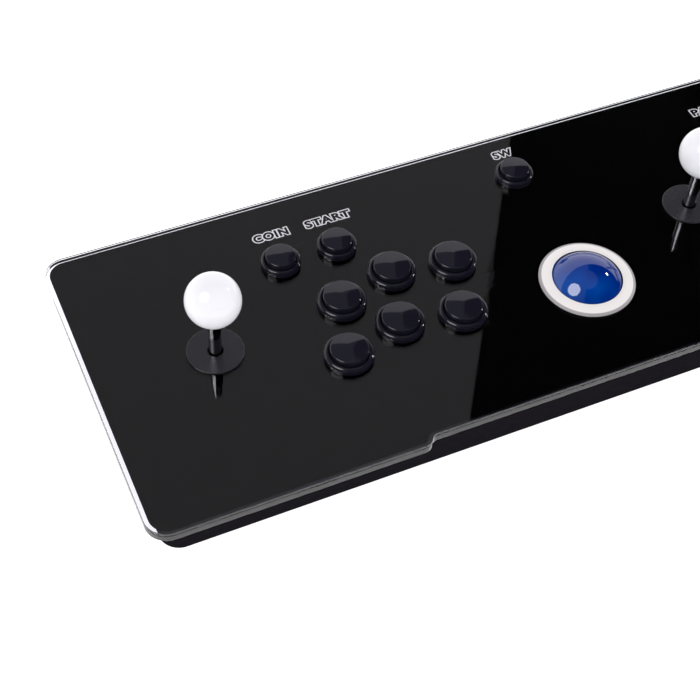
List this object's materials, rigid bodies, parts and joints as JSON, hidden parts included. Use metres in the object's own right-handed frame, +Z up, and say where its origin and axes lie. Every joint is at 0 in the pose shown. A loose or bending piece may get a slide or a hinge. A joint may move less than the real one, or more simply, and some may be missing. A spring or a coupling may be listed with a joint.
{
  "type": "arcade joystick panel",
  "caption": "Two-player arcade control panel: flat case under a thick acrylic top with two ball-top sticks, push buttons and a central trackball.",
  "frame": {"origin": "on the surface the feet stand on, under the middle of the acrylic panel", "axes": "+X along the panel from the left player to the right player, +Y to the back, +Z up"},
  "size_m": [0.66, 0.225, 0.1307],
  "materials": {
    "clear_acrylic": "polished clear sheet",
    "black_film": "smooth printed film",
    "black_powder_coat": "fine satin powder coat",
    "zinc_steel": "zinc plated",
    "black_steel": "black chrome plated",
    "spring_steel": "bright wire",
    "gloss_black_plastic": "polished moulding",
    "matte_black_plastic": "fine matte moulding",
    "dark_grey_plastic": "satin moulding",
    "white_plastic": "polished ball top",
    "ivory_plastic": "satin moulding",
    "blue_resin": "polished cast resin",
    "natural_nylon": "satin moulding",
    "rubber": "matte",
    "circuit_board": "solder mask",
    "socket_metal": "plated sheet"
  },
  "bodies": {
    "console": {"action_button_bodies": "gloss_black_plastic", "artwork_film": "black_film", "bottom_cover": "black_powder_coat", "button_nuts": "matte_black_plastic", "case_shell": "black_powder_coat", "cover_sheet": "clear_acrylic", "encoder_board": "circuit_board", "gate_plates": "matte_black_plastic", "light_plate": "clear_acrylic", "machine_screws": "zinc_steel", "main_board": "circuit_board", "microswitches": "matte_black_plastic", "mounting_nuts": "zinc_steel", "power_jack": "matte_black_plastic", "power_switch": "matte_black_plastic", "roller_bearings": "zinc_steel", "rubber_feet": "rubber", "small_button_bodies": "gloss_black_plastic", "stick_bases": "matte_black_plastic", "stick_mounting_plates": "zinc_steel", "trackball_housing": "matte_black_plastic", "trackball_ring": "ivory_plastic", "usb_sockets": "socket_metal", "video_socket": "socket_metal"},
    "p1_1_button": {"p1_1_plunger": "gloss_black_plastic"},
    "p1_2_button": {"p1_2_plunger": "gloss_black_plastic"},
    "p1_3_button": {"p1_3_plunger": "gloss_black_plastic"},
    "p1_4_button": {"p1_4_plunger": "gloss_black_plastic"},
    "p1_5_button": {"p1_5_plunger": "gloss_black_plastic"},
    "p1_6_button": {"p1_6_plunger": "gloss_black_plastic"},
    "p2_1_button": {"p2_1_plunger": "gloss_black_plastic"},
    "p2_2_button": {"p2_2_plunger": "gloss_black_plastic"},
    "p2_3_button": {"p2_3_plunger": "gloss_black_plastic"},
    "p2_4_button": {"p2_4_plunger": "gloss_black_plastic"},
    "p2_5_button": {"p2_5_plunger": "gloss_black_plastic"},
    "p2_6_button": {"p2_6_plunger": "gloss_black_plastic"},
    "menu_button": {"menu_plunger": "gloss_black_plastic"},
    "p1_coin_button": {"p1_coin_plunger": "gloss_black_plastic"},
    "p1_start_button": {"p1_start_plunger": "gloss_black_plastic"},
    "p2_pause_button": {"p2_pause_plunger": "gloss_black_plastic"},
    "p2_start_button": {"p2_start_plunger": "gloss_black_plastic"},
    "p1_gimbal": {"p1_gimbal_ring": "natural_nylon"},
    "p1_stick": {"p1_ball_top": "white_plastic", "p1_shaft": "black_steel", "p1_actuator": "matte_black_plastic", "p1_spring": "spring_steel"},
    "p1_seal": {"p1_seal_washer": "matte_black_plastic"},
    "p1_washer": {"p1_dust_washer": "dark_grey_plastic"},
    "p2_gimbal": {"p2_gimbal_ring": "natural_nylon"},
    "p2_stick": {"p2_ball_top": "white_plastic", "p2_shaft": "black_steel", "p2_actuator": "matte_black_plastic", "p2_spring": "spring_steel"},
    "p2_seal": {"p2_seal_washer": "matte_black_plastic"},
    "p2_washer": {"p2_dust_washer": "dark_grey_plastic"},
    "ball": {"trackball": "blue_resin"},
    "forward_roller": {"forward_roller": "natural_nylon"},
    "side_roller": {"side_roller": "natural_nylon"},
    "idler": {"idler_roller": "natural_nylon"},
    "rocker": {"power_rocker": "gloss_black_plastic"}
  },
  "joints": [
    {"name": "p1_1_press", "type": "slide", "parent": "console", "child": "p1_1_button", "axis": [0, 0, -1], "range_m": [0, 0.0025], "stiffness_N_per_m": 250, "springref_m": -0.002},
    {"name": "p1_2_press", "type": "slide", "parent": "console", "child": "p1_2_button", "axis": [0, 0, -1], "range_m": [0, 0.0025], "stiffness_N_per_m": 250, "springref_m": -0.002},
    {"name": "p1_3_press", "type": "slide", "parent": "console", "child": "p1_3_button", "axis": [0, 0, -1], "range_m": [0, 0.0025], "stiffness_N_per_m": 250, "springref_m": -0.002},
    {"name": "p1_4_press", "type": "slide", "parent": "console", "child": "p1_4_button", "axis": [0, 0, -1], "range_m": [0, 0.0025], "stiffness_N_per_m": 250, "springref_m": -0.002},
    {"name": "p1_5_press", "type": "slide", "parent": "console", "child": "p1_5_button", "axis": [0, 0, -1], "range_m": [0, 0.0025], "stiffness_N_per_m": 250, "springref_m": -0.002},
    {"name": "p1_6_press", "type": "slide", "parent": "console", "child": "p1_6_button", "axis": [0, 0, -1], "range_m": [0, 0.0025], "stiffness_N_per_m": 250, "springref_m": -0.002},
    {"name": "p2_1_press", "type": "slide", "parent": "console", "child": "p2_1_button", "axis": [0, 0, -1], "range_m": [0, 0.0025], "stiffness_N_per_m": 250, "springref_m": -0.002},
    {"name": "p2_2_press", "type": "slide", "parent": "console", "child": "p2_2_button", "axis": [0, 0, -1], "range_m": [0, 0.0025], "stiffness_N_per_m": 250, "springref_m": -0.002},
    {"name": "p2_3_press", "type": "slide", "parent": "console", "child": "p2_3_button", "axis": [0, 0, -1], "range_m": [0, 0.0025], "stiffness_N_per_m": 250, "springref_m": -0.002},
    {"name": "p2_4_press", "type": "slide", "parent": "console", "child": "p2_4_button", "axis": [0, 0, -1], "range_m": [0, 0.0025], "stiffness_N_per_m": 250, "springref_m": -0.002},
    {"name": "p2_5_press", "type": "slide", "parent": "console", "child": "p2_5_button", "axis": [0, 0, -1], "range_m": [0, 0.0025], "stiffness_N_per_m": 250, "springref_m": -0.002},
    {"name": "p2_6_press", "type": "slide", "parent": "console", "child": "p2_6_button", "axis": [0, 0, -1], "range_m": [0, 0.0025], "stiffness_N_per_m": 250, "springref_m": -0.002},
    {"name": "menu_press", "type": "slide", "parent": "console", "child": "menu_button", "axis": [0, 0, -1], "range_m": [0, 0.0025], "stiffness_N_per_m": 250, "springref_m": -0.002},
    {"name": "p1_coin_press", "type": "slide", "parent": "console", "child": "p1_coin_button", "axis": [0, 0, -1], "range_m": [0, 0.0025], "stiffness_N_per_m": 250, "springref_m": -0.002},
    {"name": "p1_start_press", "type": "slide", "parent": "console", "child": "p1_start_button", "axis": [0, 0, -1], "range_m": [0, 0.0025], "stiffness_N_per_m": 250, "springref_m": -0.002},
    {"name": "p2_pause_press", "type": "slide", "parent": "console", "child": "p2_pause_button", "axis": [0, 0, -1], "range_m": [0, 0.0025], "stiffness_N_per_m": 250, "springref_m": -0.002},
    {"name": "p2_start_press", "type": "slide", "parent": "console", "child": "p2_start_button", "axis": [0, 0, -1], "range_m": [0, 0.0025], "stiffness_N_per_m": 250, "springref_m": -0.002},
    {"name": "p1_tilt_fore", "type": "hinge", "parent": "console", "child": "p1_gimbal", "pos_m": [-0.2486, 0.0023, 0.046], "axis": [1, 0, 0], "range_deg": [-8, 8], "stiffness_Nm_per_rad": 1},
    {"name": "p1_tilt_side", "type": "hinge", "parent": "p1_gimbal", "child": "p1_stick", "pos_m": [-0.2486, 0.0023, 0.046], "axis": [0, 1, 0], "range_deg": [-8, 8], "stiffness_Nm_per_rad": 1},
    {"name": "p1_seal_slide", "type": "slide", "parent": "console", "child": "p1_seal", "axis": [1, 0, 0], "range_m": [-0.0027, 0.0027]},
    {"name": "p1_washer_slide", "type": "slide", "parent": "p1_seal", "child": "p1_washer", "axis": [0, 1, 0], "range_m": [-0.0027, 0.0027]},
    {"name": "p2_tilt_fore", "type": "hinge", "parent": "console", "child": "p2_gimbal", "pos_m": [0.1012, 0.0023, 0.046], "axis": [1, 0, 0], "range_deg": [-8, 8], "stiffness_Nm_per_rad": 1},
    {"name": "p2_tilt_side", "type": "hinge", "parent": "p2_gimbal", "child": "p2_stick", "pos_m": [0.1012, 0.0023, 0.046], "axis": [0, 1, 0], "range_deg": [-8, 8], "stiffness_Nm_per_rad": 1},
    {"name": "p2_seal_slide", "type": "slide", "parent": "console", "child": "p2_seal", "axis": [1, 0, 0], "range_m": [-0.0027, 0.0027]},
    {"name": "p2_washer_slide", "type": "slide", "parent": "p2_seal", "child": "p2_washer", "axis": [0, 1, 0], "range_m": [-0.0027, 0.0027]},
    {"name": "ball_roll", "type": "hinge", "parent": "console", "child": "ball", "pos_m": [0, -0.032, 0.04883], "axis": [1, 0, 0], "continuous": true},
    {"name": "forward_roller_turn", "type": "hinge", "parent": "console", "child": "forward_roller", "pos_m": [0, -0.0622, 0.03139], "axis": [1, 0, 0], "continuous": true},
    {"name": "side_roller_turn", "type": "hinge", "parent": "console", "child": "side_roller", "pos_m": [-0.0302, -0.032, 0.03139], "axis": [0, 1, 0], "continuous": true},
    {"name": "idler_turn", "type": "hinge", "parent": "console", "child": "idler", "pos_m": [0.02074, -0.01126, 0.03189], "axis": [0.7071, -0.7071, 0], "continuous": true},
    {"name": "power_switch_rock", "type": "hinge", "parent": "console", "child": "rocker", "pos_m": [-0.15, 0.1015, 0.0302], "axis": [1, 0, 0], "range_deg": [0, 20]}
  ],
  "couplings": [
    {"joint": "p1_seal_slide", "follows": "p1_tilt_side", "m_per_rad": 0.0185},
    {"joint": "p1_washer_slide", "follows": "p1_tilt_fore", "m_per_rad": -0.0185},
    {"joint": "p2_seal_slide", "follows": "p2_tilt_side", "m_per_rad": 0.0185},
    {"joint": "p2_washer_slide", "follows": "p2_tilt_fore", "m_per_rad": -0.0185},
    {"joint": "forward_roller_turn", "follows": "ball_roll", "ratio": -4.7625},
    {"joint": "idler_turn", "follows": "ball_roll", "ratio": -4.0411}
  ]
}
